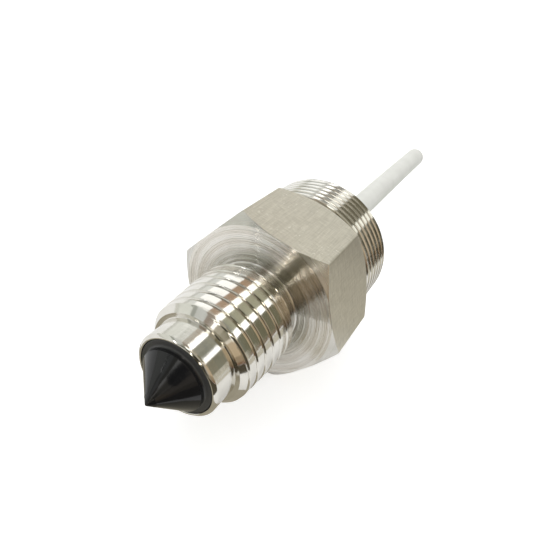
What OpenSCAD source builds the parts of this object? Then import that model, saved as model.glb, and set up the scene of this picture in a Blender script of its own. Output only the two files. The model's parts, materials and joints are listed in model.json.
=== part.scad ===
// Photoelectric liquid level sensor in a turned stainless housing.
// The sensor lies on one of the hexagon's flats, its prism towards +X and Z up. The origin is the middle of
// the box round the rigid parts, on the surface that they lie on.
// Every piece is drawn along the sensor's axis: Z runs from the hexagon's front face towards the prism's
// tip, X across the circuit board and Y up from it. The module lay puts the piece down on the flat.

/* [Hexagon] */
// Width of the hexagon across its flats
hex_af = 27; // [26.9:0.1:30]
// Length of the hexagon, from its turned front face to the end of its rear bevel
hex_l = 15; // [14:0.1:20]
// Diameter of the turned ring on the front face, where the front bevel starts
face_d = 27.4; // [25:0.1:28.5]
// Angle between the front bevel and the front face
front_bevel_a = 36; // [30:1:50]
// Angle between the rear bevel and the sensor's axis
rear_bevel_a = 42; // [25:1:45]

/* [Front thread] */
// Diameter over the crests of the front thread, from the relief groove to the start of its taper
front_d = 17.6; // [17.2:0.1:18.6]
// Pitch of the front thread
front_pitch = 1.9; // [1.7:0.1:2.2]
// Distance from the hexagon's face to the place where the crests start to taper
taper_x = 7; // [5:0.5:12]
// Diameter over the crests at the end of the taper
taper_d = 16.6; // [16.2:0.1:17.6]
// Distance from the hexagon's face to the end of the front thread
front_end = 15.6; // [14.5:0.1:16]
// Length of the steep bevel after the taper
front_lead = 1; // [0.6:0.1:1.6]
// Diameter at the end of that bevel
shoulder_d = 14.8; // [13.8:0.1:15.6]
// Width of the relief groove between the hexagon and the front thread
relief_w = 3.2; // [2.8:0.1:4]
// Diameter at the bottom of the relief groove
relief_d = 14.8; // [13.6:0.1:15.6]
// Radius of the blend between the relief groove and the hexagon's face
relief_r = 0.4; // [0.2:0.05:0.8]

/* [Rear thread] */
// Diameter over the crests of the rear thread
rear_d = 26.8; // [26:0.1:26.8]
// Pitch of the rear thread
rear_pitch = 1.5; // [1.25:0.05:1.75]
// Length of the rear thread, from the hexagon to the rear end
rear_l = 10; // [8.5:0.1:12]
// Width of the relief groove between the hexagon and the rear thread
rear_relief_w = 0.8; // [0.8:0.1:1.6]
// Depth of that relief groove below the bottoms of the thread's grooves
rear_relief_under = 0.1; // [0.1:0.05:0.3]
// Length of the bevel at the rear end
rear_lead = 0.4; // [0.2:0.1:1]

/* [Thread grooves] */
// Width of a groove between two crests, as a share of the pitch
groove_share = 0.42; // [0.36:0.01:0.5]
// Angle between a flank of the groove and the plane across the axis
flank_a = 30; // [27:1:35]
// Width of the bottom of a groove
root_w = 0.16; // [0.1:0.02:0.26]

/* [Nose] */
// Diameter of the smooth nose
nose_d = 13.3; // [12.9:0.1:13.7]
// Distance from the hexagon's face to the lip of the nose
lip_x = 19.9; // [19:0.1:24]
// Width of the bevel round the lip
lip_bevel = 0.42; // [0.2:0.02:0.5]

/* [Bores] */
// Diameter of the seat for the prism's flange in the mouth of the nose
seat_d = 12; // [11.2:0.1:12]
// Depth of that seat below the lip
seat_depth = 1.8; // [1.2:0.1:2]
// Diameter of the bore through the nose and the front thread
nose_bore_d = 10.2; // [10.1:0.1:10.8]
// Diameter of the chamber behind the nose bore
chamber_d = 20; // [18.5:0.1:21.5]
// Distance from the hexagon's face back to the chamber's front wall
chamber_x = 2; // [1.2:0.1:3]

/* [Prism] */
// Depth of the flange's face below the lip
prism_recess = 0.05; // [0.02:0.01:0.3]
// Clearance round the flange, and between the prism's skirt and the bore
prism_gap = 0.1; // [0.05:0.01:0.15]
// Diameter of the cone at its foot
cone_d = 9.4; // [8:0.1:9.8]
// Height of the step that carries the cone
cone_step = 1.05; // [0.9:0.05:1.3]
// Width of the bevel round the step's edge
step_bevel = 0.2; // [0.05:0.05:0.3]
// Full angle of the cone
cone_a = 90; // [80:1:100]
// Radius of the blend between the step and the flange
foot_r = 0.4; // [0.2:0.05:0.4]
// Radius of the cone's rounded tip
tip_r = 0.3; // [0.15:0.05:0.5]
// Thickness of the window between the flange's face and the inside of the skirt
window_t = 4.6; // [4.2:0.1:5]
// Inner diameter of the skirt behind the window
skirt_bore = 8.2; // [8.1:0.1:8.6]
// Length of the skirt behind the window
skirt_l = 6; // [5.5:0.1:8]

/* [Seal] */
// Thickness of the O-ring's cord
ring_t = 0.8; // [0.7:0.05:1]
// Distance from the back of the flange to the O-ring's groove
ring_x = 1; // [0.8:0.1:1.2]
// Clearance on each side of the O-ring in its groove
ring_gap = 0.1; // [0.05:0.01:0.15]

/* [Optics] */
// Diameter of the emitter's and the detector's domed bodies
opto_d = 3; // [2.4:0.1:3.1]
// Distance between the emitter and the detector
opto_pitch = 3.8; // [3.6:0.1:4]
// Length of a body without its dome and its rim
opto_l = 1.8; // [1.5:0.1:2.6]
// Width of the rim behind a body
opto_rim_w = 0.2; // [0.1:0.05:0.2]
// Thickness of that rim
opto_rim_t = 0.8; // [0.5:0.1:1]
// Clearance round each body, and between its dome and the window
opto_gap = 0.05; // [0.03:0.01:0.1]
// Diameter of a lead
lead_d = 0.5; // [0.4:0.05:0.6]
// Length of the leads between the rim and the circuit board
lead_free = 1; // [0.5:0.1:1.5]
// Length of the leads on the circuit board
lead_l = 2.2; // [1.5:0.1:3]

/* [Circuit board] */
// Thickness of the circuit board
board_t = 1; // [0.8:0.1:1.6]
// Length of the wide part of the board
board_l = 12; // [11.5:0.1:12.5]
// Width of the board's tongue, which reaches into the nose bore
tongue_w = 7.6; // [6:0.1:7.8]
// Clearance between the board and the slots that hold it
board_gap = 0.1; // [0.05:0.01:0.2]
// Height of the soldered feet above the board
solder_h = 0.05; // [0.02:0.01:0.1]

/* [Insulating sleeve] */
// Wall of the insulating sleeve
sleeve_t = 1.2; // [1:0.1:1.6]
// Depth of the two slots that hold the board
slot_depth = 0.6; // [0.4:0.1:0.8]
// Clearance between the sleeve and the chamber
sleeve_gap = 0.1; // [0.05:0.01:0.2]

/* [Potting] */
// Length of the potting plug
potting_l = 6; // [5.5:0.1:6.5]
// Depth of the potting's face inside the rear end
potting_recess = 0.4; // [0.2:0.05:0.8]
// Clearance between the potting and what it holds
cast_gap = 0.03; // [0.02:0.01:0.05]

/* [Cable] */
// Diameter of the cable
cable_d = 5.2; // [4.8:0.1:5.6]
// Diameter of one insulated core
core_d = 1.5; // [1.2:0.1:1.6]
// Distance between neighbouring cores inside the jacket
core_gap = 0.2; // [0.15:0.05:0.3]
// Length of the jacket that is cast into the potting
jacket_in = 4; // [3:0.1:4.5]
// Distance between the cores where they are soldered to the board
pad_pitch = 3; // [2.4:0.1:3.4]
// Diameter of a core's bare end
wire_d = 0.6; // [0.4:0.05:0.8]

/* [Hidden] */

$fn = 96;
// Overlap of a cut with the air beyond the face that it leaves through
cut = 1;

// Hexagon and rear end
corner_r = hex_af / 2 / cos(30);
rear_z = -hex_l - rear_l;

// Threads: segments in one turn of a groove, the places where the grooves start and stop, and the height
// that a cutter stands proud of the crests
turn_steps = 36;
front_start_z = relief_w / 2;
front_stop_z = front_end + front_pitch / 2;
front_start_a = 72;
rear_start_z = -hex_l - rear_relief_w / 2;
rear_stop_z = rear_z - rear_pitch / 2;
rear_start_a = 132;
groove_over = 0.3;
function groove_w(pitch) = groove_share * pitch;
function groove_h(pitch) = (groove_w(pitch) - root_w) / 2 / tan(flank_a);
// Radius of the front thread's crests at a place on the axis
taper_slope = (front_d - taper_d) / 2 / (front_end - front_lead - taper_x);
function front_crest(z) = front_d / 2 - taper_slope * max(0, z - taper_x);
function rear_crest(z) = rear_d / 2;
rear_relief_r = rear_d / 2 - groove_h(rear_pitch) - rear_relief_under;

// Prism and seal
seat_z = lip_x - seat_depth;
flange_z = lip_x - prism_recess;
window_z = flange_z - window_t;
skirt_r = nose_bore_d / 2 - prism_gap;
step_r = cone_d / 2 + step_bevel;
cone_z = flange_z + cone_step;
apex_z = cone_z + cone_d / 2 / tan(cone_a / 2);
tip_centre_z = apex_z - tip_r / sin(cone_a / 2);
tip_z = tip_centre_z + tip_r;
ring_z = seat_z - ring_x;
ring_w = ring_t + 2 * ring_gap;
ring_floor_r = nose_bore_d / 2 - ring_t;
ring_squeeze = 0.02;

// The sensor's middle, and the height of its axis above the surface that it lies on
mid_z = (tip_z + rear_z) / 2;
axis_h = hex_af / 2;

// Optics
holder_l = opto_gap + opto_d / 2 + opto_l;
rim_z = window_z - holder_l;
lead_y = board_t / 2 + solder_h + lead_d / 2;

// Circuit board and sleeve
tongue_z = rim_z - opto_rim_t - lead_free;
sleeve_r = chamber_d / 2 - sleeve_gap;
slot_x = sleeve_r - sleeve_t + slot_depth;
board_x = slot_x - board_gap;
shoulder_z = -chamber_x - board_gap;
board_z = shoulder_z - board_l;
part_y = board_t / 2 + solder_h;

// Places of the parts on the board: rows along the board and columns across it
chip_row = 4;
resistor_row = 9;
chip_z = shoulder_z - chip_row;
row_z = shoulder_z - resistor_row;
side_x = 5.8;
column_x = 3.2;

// Potting, cable and cores
potting_z = rear_z + potting_recess;
potting_front = potting_z + potting_l;
jacket_z = potting_z + jacket_in;
core_place_r = (core_d + core_gap) / 2 / sin(60);
brown_a = 210;
blue_a = 330;
black_a = 90;
bend_start = potting_front + 0.2;
core_z = board_z + 0.3;
core_y = part_y + core_d / 2;
bare_l = 1.5;
solder_r = 0.6;
solder_over = 0.1;
bend_steps = 8;
tube_sides = 12;

// Route of the cable's middle behind the rear end: distance behind it, and sag
cable_route = [[0, 0], [12, 0], [24, 0.1], [36, 0.2], [48, 0.4], [60, 0.7], [70, 1]];
cable_sides = 12;

// Lays a piece on the flat: the drawing's Z becomes X, its X becomes Y, and its Y points up
module lay() translate([-mid_z, 0, axis_h]) rotate([90, 0, 90]) children();

// Triangles that close a sweep: rings of n points each, in order along it and counter-clockwise about it
function ring_faces(rings, n) = concat(
    [for (k = [1:n - 2]) [0, k, k + 1]],
    [for (i = [0:rings - 2], k = [0:n - 1]) each [
        [i * n + k, (i + 1) * n + (k + 1) % n, i * n + (k + 1) % n],
        [i * n + k, (i + 1) * n + k, (i + 1) * n + (k + 1) % n]
    ]],
    [for (k = [1:n - 2]) [(rings - 1) * n, (rings - 1) * n + k + 1, (rings - 1) * n + k]]
);

// Cutter for a right-hand groove that winds from start_z to end_z. crest gives the crests' radius at a place
// on the axis.
module groove(start_z, end_z, start_a, pitch, crest) {
    steps = ceil(abs(end_z - start_z) / pitch * turn_steps);
    side = sign(end_z - start_z);
    half_root = root_w / 2;
    half_top = groove_w(pitch) / 2 + groove_over * tan(flank_a);
    section = [
        [-groove_h(pitch), -half_root], [-groove_h(pitch), half_root],
        [groove_over, half_top], [groove_over, -half_top]
    ];
    points = [
        for (i = [0:steps])
            let (a = start_a + side * i * 360 / turn_steps, z = start_z + side * i * pitch / turn_steps)
                for (p = section)
                    let (r = crest(z) + p.x) [r * cos(a), r * sin(a), z + side * p.y]
    ];
    polyhedron(points, ring_faces(steps + 1, 4));
}

// Round tube along a list of points
function tube_points(route, d, sides) = [
    for (i = [0:len(route) - 1])
        let (
            ahead = route[min(i + 1, len(route) - 1)] - route[max(i - 1, 0)],
            t = ahead / norm(ahead),
            u = cross(t, [0, 1, 0]) / norm(cross(t, [0, 1, 0])),
            v = cross(t, u)
        )
            for (k = [0:sides - 1])
                route[i] + d / 2 * (cos(360 * k / sides) * u + sin(360 * k / sides) * v)
];
module tube(route, d, sides) polyhedron(tube_points(route, d, sides), ring_faces(len(route), sides));

// Outline of the hexagon's two bevels, which meet the hexagon's corners
module bevels() {
    out_r = corner_r + cut;
    rotate_extrude() polygon([
        [0, 0],
        [face_d / 2, 0],
        [out_r, -(out_r - face_d / 2) * tan(front_bevel_a)],
        [out_r, -hex_l + (out_r - rear_d / 2) / tan(rear_bevel_a)],
        [rear_d / 2, -hex_l],
        [0, -hex_l]
    ]);
}

module hexagon() intersection() {
    translate([0, 0, -hex_l]) cylinder(r = corner_r, h = hex_l, $fn = 6);
    bevels();
}

// The turned parts in front of the hexagon: relief groove, thread crests with taper and bevel, and nose
module front_turning() {
    blend_r = min(relief_r, (front_d - relief_d) / 4);
    difference() {
        rotate_extrude() polygon([
            [0, -chamber_x],
            [relief_d / 2 + blend_r, -chamber_x],
            [relief_d / 2 + blend_r, blend_r],
            [relief_d / 2, blend_r],
            [relief_d / 2, relief_w],
            [front_d / 2, relief_w],
            [front_d / 2, taper_x],
            [taper_d / 2, front_end - front_lead],
            [shoulder_d / 2, front_end],
            [nose_d / 2, front_end],
            [nose_d / 2, lip_x - lip_bevel],
            [nose_d / 2 - lip_bevel, lip_x],
            [0, lip_x]
        ]);
        rotate_extrude() translate([relief_d / 2 + blend_r, blend_r]) circle(r = blend_r, $fn = 32);
    }
}

module rear_turning() rotate_extrude() polygon([
    [0, -hex_l + cut],
    [rear_relief_r, -hex_l + cut],
    [rear_relief_r, -hex_l - rear_relief_w],
    [rear_d / 2, -hex_l - rear_relief_w],
    [rear_d / 2, rear_z + rear_lead],
    [rear_d / 2 - rear_lead, rear_z],
    [0, rear_z]
]);

module housing() color("silver") lay() difference() {
    union() {
        hexagon();
        front_turning();
        rear_turning();
    }
    groove(front_start_z, front_stop_z, front_start_a, front_pitch, function(z) front_crest(z));
    groove(rear_start_z, rear_stop_z, rear_start_a, rear_pitch, function(z) rear_crest(z));
    translate([0, 0, seat_z]) cylinder(d = seat_d, h = seat_depth + cut);
    translate([0, 0, -chamber_x - cut]) cylinder(d = nose_bore_d, h = chamber_x + seat_z + 2 * cut);
    translate([0, 0, rear_z - cut]) cylinder(d = chamber_d, h = -chamber_x - rear_z + cut);
}

// The prism: skirt with the seal's groove, flange, bevelled step with its blend, and round-tipped cone
module prism_turning() {
    rotate_extrude() polygon([
        [0, window_z - skirt_l],
        [skirt_r, window_z - skirt_l],
        [skirt_r, ring_z - ring_w],
        [ring_floor_r, ring_z - ring_w],
        [ring_floor_r, ring_z],
        [skirt_r, ring_z],
        [skirt_r, seat_z],
        [seat_d / 2 - prism_gap, seat_z],
        [seat_d / 2 - prism_gap, flange_z],
        [0, flange_z]
    ]);
    rotate_extrude() difference() {
        translate([0, flange_z - foot_r]) square([step_r + foot_r, 2 * foot_r]);
        translate([step_r + foot_r, flange_z + foot_r]) circle(r = foot_r, $fn = 32);
    }
    rotate_extrude() polygon([
        [0, flange_z - foot_r],
        [step_r, flange_z - foot_r],
        [step_r, cone_z - step_bevel],
        [cone_d / 2, cone_z],
        [tip_r * cos(cone_a / 2), tip_centre_z + tip_r * sin(cone_a / 2)],
        [0, tip_centre_z + tip_r * sin(cone_a / 2)]
    ]);
    translate([0, 0, tip_centre_z]) sphere(r = tip_r, $fn = 48);
}

module prism() color("#222222") lay() difference() {
    prism_turning();
    translate([0, 0, window_z - skirt_l - cut]) cylinder(d = skirt_bore, h = skirt_l + cut);
}

module prism_seal() color("#303030") lay() translate([0, 0, ring_z - ring_w / 2]) rotate_extrude()
    translate([nose_bore_d / 2 - ring_t / 2, 0]) circle(r = ring_t / 2 - ring_squeeze, $fn = 32);

// Puts its children at the emitter's place, at -1, or the detector's, at 1
module at_opto(side) translate([side * opto_pitch / 2, 0, 0]) children();

module optics_holder() color("#3a3a3a") lay() difference() {
    translate([0, 0, rim_z]) cylinder(d = skirt_bore - 2 * prism_gap, h = holder_l);
    for (side = [-1, 1])
        at_opto(side) translate([0, 0, rim_z - cut])
            cylinder(d = opto_d + 2 * opto_gap, h = holder_l + 2 * cut);
}

// A domed body with its rim, and two leads that reach over the board's faces
module opto(side) at_opto(side) {
    rotate_extrude() polygon([
        [0, rim_z - opto_rim_t],
        [opto_d / 2 + opto_rim_w, rim_z - opto_rim_t],
        [opto_d / 2 + opto_rim_w, rim_z],
        [opto_d / 2, rim_z],
        [opto_d / 2, rim_z + opto_l],
        [0, rim_z + opto_l]
    ]);
    translate([0, 0, rim_z + opto_l]) sphere(d = opto_d, $fn = 48);
    for (y = [-lead_y, lead_y])
        translate([0, y, tongue_z - lead_l])
            cylinder(d = lead_d, h = lead_l + lead_free + opto_rim_t / 2, $fn = 24);
}

module infrared_led() color("#3b3f6e") lay() opto(-1);
module phototransistor() color("#26262c") lay() opto(1);

module circuit_board() color("#1f6b3a") lay()
    rotate([90, 0, 0]) linear_extrude(board_t, center = true) polygon([
        [-tongue_w / 2, tongue_z], [tongue_w / 2, tongue_z],
        [tongue_w / 2, shoulder_z], [board_x, shoulder_z],
        [board_x, board_z], [-board_x, board_z],
        [-board_x, shoulder_z], [-tongue_w / 2, shoulder_z]
    ]);

module insulating_sleeve() color("#d8cfa8") lay() translate([0, 0, potting_front]) difference() {
    sleeve_l = -chamber_x - potting_front;
    slot_h = board_t + 2 * board_gap;
    cylinder(r = sleeve_r, h = sleeve_l);
    translate([0, 0, -cut]) cylinder(r = sleeve_r - sleeve_t, h = sleeve_l + 2 * cut);
    translate([-slot_x, -slot_h / 2, -cut]) cube([2 * slot_x, slot_h, sleeve_l + 2 * cut]);
}

// Puts its children on the board: x across, z along, on its upper face or, with side -1, under it
module on_board(x, z, side = 1)
    translate([x, 0, z]) scale([1, side, 1]) translate([0, part_y, 0]) children();

// A block with a metal cap on each end: w across the board, h high and l along it
module chip(w, h, l, cap_l) {
    inset = 0.05;
    translate([-w / 2 + inset, inset, -l / 2 + inset]) cube([w - 2 * inset, h - 2 * inset, l - 2 * inset]);
    for (z = [-l / 2, l / 2 - cap_l])
        translate([-w / 2, 0, z]) cube([w, h, cap_l]);
}

// A moulded body on bent legs: span is the width over the feet, left and right the legs' places along z
module legged(w, h, l, span, left, right) {
    stand = 0.1;
    leg_t = 0.2;
    leg_w = 0.4;
    foot_l = 0.6;
    translate([-w / 2, stand, -l / 2]) cube([w, h, l]);
    for (side = [-1, 1], z = side < 0 ? left : right)
        scale([side, 1, 1]) translate([0, 0, z - leg_w / 2]) linear_extrude(leg_w) polygon([
            [w / 2 - leg_t, stand + h / 2], [span / 2 - foot_l, stand + h / 2], [span / 2 - foot_l, leg_t],
            [span / 2, leg_t], [span / 2, 0], [span / 2 - foot_l - leg_t, 0],
            [span / 2 - foot_l - leg_t, stand + h / 2 - leg_t], [w / 2 - leg_t, stand + h / 2 - leg_t]
        ]);
}

module regulator() color("#2a2a2a") lay() on_board(-side_x, chip_z)
    legged(w = 1.6, h = 1.1, l = 2.9, span = 3.6, left = [0], right = [-0.95, 0, 0.95]);

module comparator() color("#242424") lay() on_board(0, chip_z) {
    legs = [-1.9, -0.63, 0.63, 1.9];
    legged(w = 3.9, h = 1.5, l = 4.9, span = 6, left = legs, right = legs);
}

module output_transistor() color("#2a2a2a") lay() on_board(side_x, chip_z)
    legged(w = 1.3, h = 1, l = 2.9, span = 3.2, left = [-0.95, 0.95], right = [0]);

module resistor(x) on_board(x, row_z) chip(w = 1.25, h = 0.55, l = 2, cap_l = 0.4);
module led_resistor() color("#1c1c1c") lay() resistor(-column_x);
module load_resistor() color("#1c1c1c") lay() resistor(0);
module feedback_resistor() color("#1c1c1c") lay() resistor(column_x);

module supply_capacitor() color("#c9a227") lay() on_board(0, chip_z, -1)
    chip(w = 2.8, h = 1.9, l = 3.5, cap_l = 0.8);

module filter_capacitor() color("#b59a6a") lay() on_board(column_x, row_z, -1)
    chip(w = 1.25, h = 1.1, l = 2, cap_l = 0.4);

module polarity_diode() color("#202020") lay() on_board(-column_x, row_z, -1)
    chip(w = 2.6, h = 2.2, l = 4.3, cap_l = 0.9);

// A core's middle at the jacket's end, and its way to its place on the board
function core_start(a) = [core_place_r * cos(a), core_place_r * sin(a), jacket_z];
function smooth(t) = t * t * (3 - 2 * t);
function core_route(a, x) =
    let (from = core_start(a), bend = [from.x, from.y, bend_start], to = [x, core_y, core_z])
        concat([from], [
            for (i = [0:bend_steps])
                let (t = i / bend_steps, s = smooth(t))
                    [bend.x + (to.x - bend.x) * s, bend.y + (to.y - bend.y) * s, bend.z + (to.z - bend.z) * t]
        ]);

// An insulated core with its bare end, soldered to the board
module core(a, x) {
    tube(core_route(a, x), core_d, tube_sides);
    translate([x, core_y, core_z - bare_l]) cylinder(d = wire_d, h = 2 * bare_l, $fn = 24);
    translate([x, part_y, core_z + bare_l / 2]) rotate([-90, 0, 0])
        cylinder(r = solder_r, h = core_d / 2 + wire_d / 2 + solder_over, $fn = 32);
}

module core_brown() color("#6b4226") lay() core(brown_a, -pad_pitch);
module core_black() color("#1b1b1b") lay() core(black_a, 0);
module core_blue() color("#2b55a0") lay() core(blue_a, pad_pitch);

module cable_root() color("#dedfd6") lay()
    translate([0, 0, rear_z]) cylinder(d = cable_d, h = jacket_z - rear_z);

module potting() color("#1e1e20") lay() difference() {
    translate([0, 0, potting_z]) cylinder(r = chamber_d / 2 - cast_gap, h = potting_l);
    translate([0, 0, potting_z - cut]) cylinder(r = cable_d / 2 + cast_gap, h = jacket_in + cut);
    for (a = [black_a, brown_a, blue_a])
        translate(core_start(a) - [0, 0, cut]) cylinder(r = core_d / 2 + cast_gap, h = potting_l, $fn = 32);
}

module cable() color("#dedfd6") lay()
    tube([for (p = cable_route) [0, -p.y, rear_z - p.x]], cable_d, cable_sides);

housing();
prism();
prism_seal();
optics_holder();
infrared_led();
phototransistor();
circuit_board();
insulating_sleeve();
regulator();
comparator();
output_transistor();
led_resistor();
load_resistor();
feedback_resistor();
supply_capacitor();
filter_capacitor();
polarity_diode();
core_brown();
core_blue();
core_black();
cable_root();
potting();
cable();
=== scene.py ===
"""A photoelectric liquid level sensor that lies on one flat of its hexagon, with its prism towards +X.

Sizes are in millimetres: s along the sensor's axis, counted from the hexagon's front face towards the prism,
and r away from that axis. The row frame, the camera, the cards and the lamps are in metres.
"""
import json
import math

import bmesh
import bpy
import numpy as np
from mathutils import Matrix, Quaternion, Vector

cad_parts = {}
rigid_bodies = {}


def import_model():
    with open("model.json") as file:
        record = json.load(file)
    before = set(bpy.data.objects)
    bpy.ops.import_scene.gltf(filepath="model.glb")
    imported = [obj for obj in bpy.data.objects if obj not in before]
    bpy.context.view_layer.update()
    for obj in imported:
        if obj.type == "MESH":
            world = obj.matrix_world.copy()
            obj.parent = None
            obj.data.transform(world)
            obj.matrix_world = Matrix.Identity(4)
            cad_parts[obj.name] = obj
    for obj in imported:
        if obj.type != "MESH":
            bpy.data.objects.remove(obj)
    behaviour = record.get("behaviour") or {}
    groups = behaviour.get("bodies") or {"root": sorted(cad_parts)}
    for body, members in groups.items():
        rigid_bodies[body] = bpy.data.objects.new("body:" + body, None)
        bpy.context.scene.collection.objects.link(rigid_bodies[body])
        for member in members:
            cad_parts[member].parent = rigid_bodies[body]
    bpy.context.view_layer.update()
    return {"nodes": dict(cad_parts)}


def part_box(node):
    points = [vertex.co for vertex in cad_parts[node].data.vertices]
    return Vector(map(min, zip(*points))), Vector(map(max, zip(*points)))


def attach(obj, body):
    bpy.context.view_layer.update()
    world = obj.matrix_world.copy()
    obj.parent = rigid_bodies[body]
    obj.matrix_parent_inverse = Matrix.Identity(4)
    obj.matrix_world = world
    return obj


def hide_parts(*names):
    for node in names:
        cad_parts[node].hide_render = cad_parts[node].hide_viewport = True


MM = 0.001
TURN = 2 * math.pi

# Camera: its place, the point it looks at, its turn about the line of sight, and its lens
CAMERA_AT = (0.05326, 0.01750, 0.06631)
CAMERA_AIM = (-0.00597, -0.00024, 0.01553)
CAMERA_ROLL = 22.6
CAMERA_SHIFT = 0.006
LENS = 30.89
SENSOR = 36.0

# Cable: distance behind the rear end and sag of its middle, and its sizes
CABLE_ROUTE = [(0, 0), (12, 0), (24, 0.1), (36, 0.2), (48, 0.4), (60, 0.7), (70, 1)]
CABLE_STEPS = 36
CABLE_SIDES = 48
CABLE_D = 5.2
JACKET_T = 0.75
JACKET_EDGE = 0.06
END_DEPTH = 0.25
CORES = ("brown", "blue", "black")
CORE_ANGLES = (210, 330, 90)
CORE_RING = 0.98
CORE_D = 1.5
CORE_DEPTH = 1.0
CORE_BACK = 0.06
WIRE_D = 0.7
WIRE_DEPTH = 0.5
STUB_SIDES = 24

# Hexagon, angles in degrees
HEX_AF = 27.0
HEX_L = 15.0
FACE_R = 13.7
FRONT_BEVEL = 36.0
REAR_BEVEL = 42.0
EDGE = 0.05
CORNER_ROUND = 0.055
CORNER_REACH = 0.75

# Nose and bores
LIP_Z = 19.9
LIP_BEVEL = 0.42
NOSE_R = 6.65
SEAT_Z = 18.1
SEAT_R = 6.0
BORE_R = 5.1
CHAMBER_R = 10.0
CHAMBER_Z = -2.0

# Threads: the shares are the grooves' widths as parts of the pitch
FRONT_R = 8.8
TAPER_Z = 7.0
TAPER_R = 8.3
FRONT_LEAD_Z = 14.6
FRONT_END = 15.6
FRONT_PITCH = 1.9
FRONT_SHARE = 0.25
FRONT_TURN = 72.0
SHOULDER_R = 7.4
RELIEF_W = 3.2
RELIEF_R = 7.4
RELIEF_FILLET = 0.4
REAR_Z = -25.0
REAR_R = 13.4
REAR_PITCH = 1.5
REAR_SHARE = 0.32
REAR_TURN = 132.0
REAR_LEAD = 0.4
REAR_RELIEF_W = 0.8
REAR_RELIEF_R = 12.893
ROOT_W = 0.12
FLANK = math.radians(30)
FLANK_SOFT = 0.06
FLANK_EDGE = 0.03
LAND_CROWN = 0.008
THREAD_START = 0.12
COLUMNS = 288

# Prism and potting
FLANGE_Z = 19.85
FLANGE_R = 5.9
FLANGE_EDGE = 0.15
STEP_Z = 20.9
STEP_R = 4.9
CONE_R = 4.7
FOOT_R = 0.4
TIP_R = 0.3
SKIRT_R = 5.0
SKIRT_BORE = 4.1
SKIRT_Z = 9.25
SEAL_GROOVE = (16.1, 17.1, 4.3)
WINDOW_Z = 15.25
POTTING_Z = -24.6
POTTING_FRONT = -18.6
JACKET_FRONT = -20.6
CAST_GAP = 0.03

# Light: strengths of the room, of the floor's glow to the camera, and of that glow's share in reflections
ROOM_LIGHT = 0.67
FLOOR_GLOW = 0.42
FLOOR_MIRRORED = 0.26
FLOOR_HALF = 3.0
LAMP_AIM = (0, 0, 0.01)


def clear():
    for item in list(bpy.data.objects):
        bpy.data.objects.remove(item)


def add_camera():
    """The camera, turned about its line of sight as the photograph is."""
    data = bpy.data.cameras.new("camera")
    data.lens = LENS
    data.sensor_width = SENSOR
    data.clip_start = 0.002
    data.clip_end = 20
    data.shift_y = CAMERA_SHIFT
    camera = bpy.data.objects.new("camera", data)
    bpy.context.scene.collection.objects.link(camera)
    look = Vector(CAMERA_AIM) - Vector(CAMERA_AT)
    turn = look.to_track_quat("-Z", "Y")
    roll = Quaternion((0, 0, 1), math.radians(CAMERA_ROLL))
    camera.rotation_mode = "QUATERNION"
    camera.rotation_quaternion = turn @ roll
    camera.location = CAMERA_AT
    bpy.context.scene.camera = camera


# Meshes


def make(name, verts, faces, materials, indices=None, sharp=30.0):
    """A smooth-shaded mesh with sharp edges where its faces meet at more than that angle."""
    mesh = bpy.data.meshes.new(name)
    mesh.from_pydata([tuple(v) for v in verts], [], [tuple(f) for f in faces])
    for material in materials:
        mesh.materials.append(material)
    if indices is not None:
        mesh.polygons.foreach_set("material_index", indices)
    welded = bmesh.new()
    welded.from_mesh(mesh)
    bmesh.ops.remove_doubles(welded, verts=welded.verts, dist=2e-7)
    bmesh.ops.recalc_face_normals(welded, faces=welded.faces)
    welded.to_mesh(mesh)
    welded.free()
    mesh.polygons.foreach_set("use_smooth", [True] * len(mesh.polygons))
    mesh.set_sharp_from_angle(angle=math.radians(sharp))
    mesh.update()
    item = bpy.data.objects.new(name, mesh)
    bpy.context.scene.collection.objects.link(item)
    return item


def place(s, r, angle):
    """Row-frame point at s along the axis and r from it. Angle 0 is towards +Y, a quarter turn is up."""
    return np.stack([
        HEX_FACE_X + s * MM,
        r * np.cos(angle) * MM,
        AXIS_H + r * np.sin(angle) * MM,
    ], -1)


def turned(name, profile, materials, sharp=30.0, sides=128):
    """Revolves a closed profile of (s, r) about the sensor's axis."""
    angles = np.arange(sides)[:, None] * TURN / sides
    s, r = np.array(profile, float).T
    grid = place(s + 0 * angles, r + 0 * angles, angles)
    n = len(s)
    faces = [
        (a * n + i, a * n + (i + 1) % n, (a + 1) % sides * n + (i + 1) % n, (a + 1) % sides * n + i)
        for a in range(sides) for i in range(n)
    ]
    return make(name, grid.reshape(-1, 3), faces, materials, sharp=sharp)


def arc(centre_s, centre_r, radius, start, end, steps):
    """Points (s, r) of an arc, its angles in degrees from the +s direction towards +r."""
    angles = np.radians(np.linspace(start, end, steps + 1))
    return [(centre_s + radius * math.cos(a), centre_r + radius * math.sin(a)) for a in angles]


def circle(middle, side, up, radius, sides):
    """Row-frame points of a circle in the plane of side and up, its radius in millimetres."""
    angles = np.arange(sides) * TURN / sides
    return [middle + (side * math.cos(a) + up * math.sin(a)) * radius * MM for a in angles]


def tube_faces(rings, sides):
    """Faces from each ring of points to the next."""
    return [
        (i * sides + k, i * sides + (k + 1) % sides, (i + 1) * sides + (k + 1) % sides, (i + 1) * sides + k)
        for i in range(rings - 1) for k in range(sides)
    ]


def ring_face(ring, sides):
    """The face that closes one ring of points."""
    return tuple(ring * sides + k for k in range(sides))


# Materials


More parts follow.
